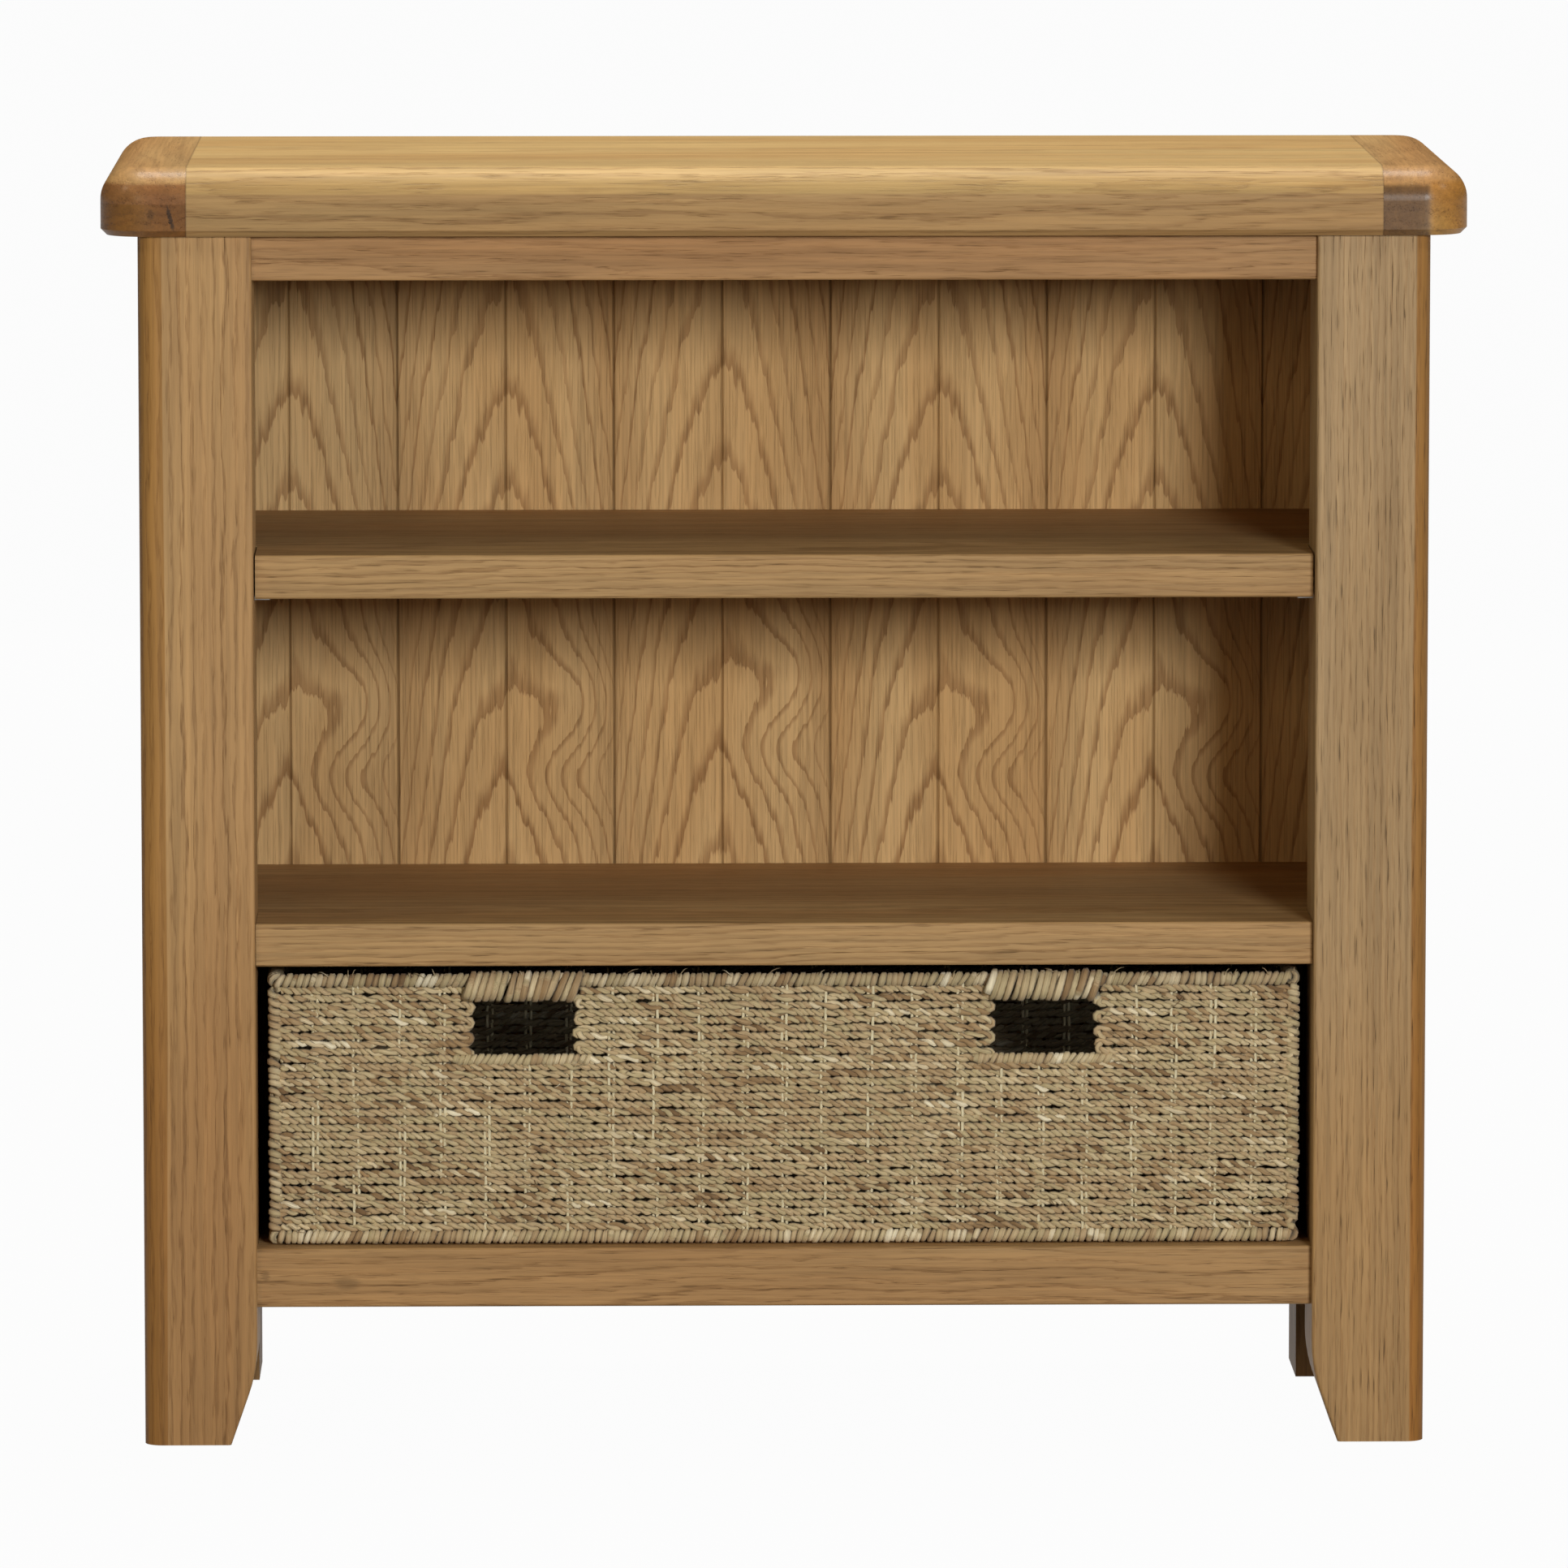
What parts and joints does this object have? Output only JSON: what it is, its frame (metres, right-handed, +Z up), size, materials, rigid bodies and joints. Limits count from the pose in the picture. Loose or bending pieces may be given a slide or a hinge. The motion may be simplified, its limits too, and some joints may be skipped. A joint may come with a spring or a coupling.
{
  "type": "low bookcase with a basket",
  "caption": "Low open oak bookcase with a thick rounded top, square legs with curved feet, a grooved back, a loose shelf and a wide woven basket that slides out of the lowest bay.",
  "frame": {"origin": "on the floor, under the centre of the top", "axes": "+X to the right as seen from the front, +Y to the back, +Z up; the front looks along -Y"},
  "size_m": [0.9, 0.35, 0.85],
  "materials": {
    "oak": "satin lacquer on solid oak",
    "oak_veneer": "satin lacquer on oak veneer",
    "seagrass": "woven twisted cord, matt",
    "steel": "zinc plated"
  },
  "bodies": {
    "carcase": {"top_board_front": "oak", "top_board_back": "oak", "top_end_left": "oak", "top_end_right": "oak", "front_leg_left": "oak", "front_leg_right": "oak", "rear_leg_left": "oak", "rear_leg_right": "oak", "top_front_rail": "oak", "top_rear_rail": "oak", "bottom_front_rail": "oak", "bottom_rear_rail": "oak", "upper_side_rail_left": "oak", "upper_side_rail_right": "oak", "lower_side_rail_left": "oak", "lower_side_rail_right": "oak", "side_panel_left": "oak_veneer", "side_panel_right": "oak_veneer", "back_panel": "oak_veneer", "middle_shelf": "oak", "bottom_board": "oak", "bottom_cleats": "oak", "top_fixing_blocks": "oak", "shelf_pins": "steel"},
    "upper_shelf": {"upper_shelf": "oak"},
    "basket": {"basket_front": "seagrass", "basket_back": "seagrass", "basket_left": "seagrass", "basket_right": "seagrass", "basket_base": "seagrass", "basket_top_rim": "seagrass", "basket_bottom_rim": "seagrass", "basket_corner_rolls": "seagrass", "basket_grips": "seagrass", "basket_hole_rolls": "seagrass"}
  },
  "joints": [
    {"name": "basket_pull", "type": "slide", "parent": "carcase", "child": "basket", "axis": [0, -1, 0], "range_m": [0, 0.33]},
    {"name": "upper_shelf_lift", "type": "slide", "parent": "carcase", "child": "upper_shelf", "axis": [0, 0, 1], "range_m": [0, 0.15]}
  ]
}
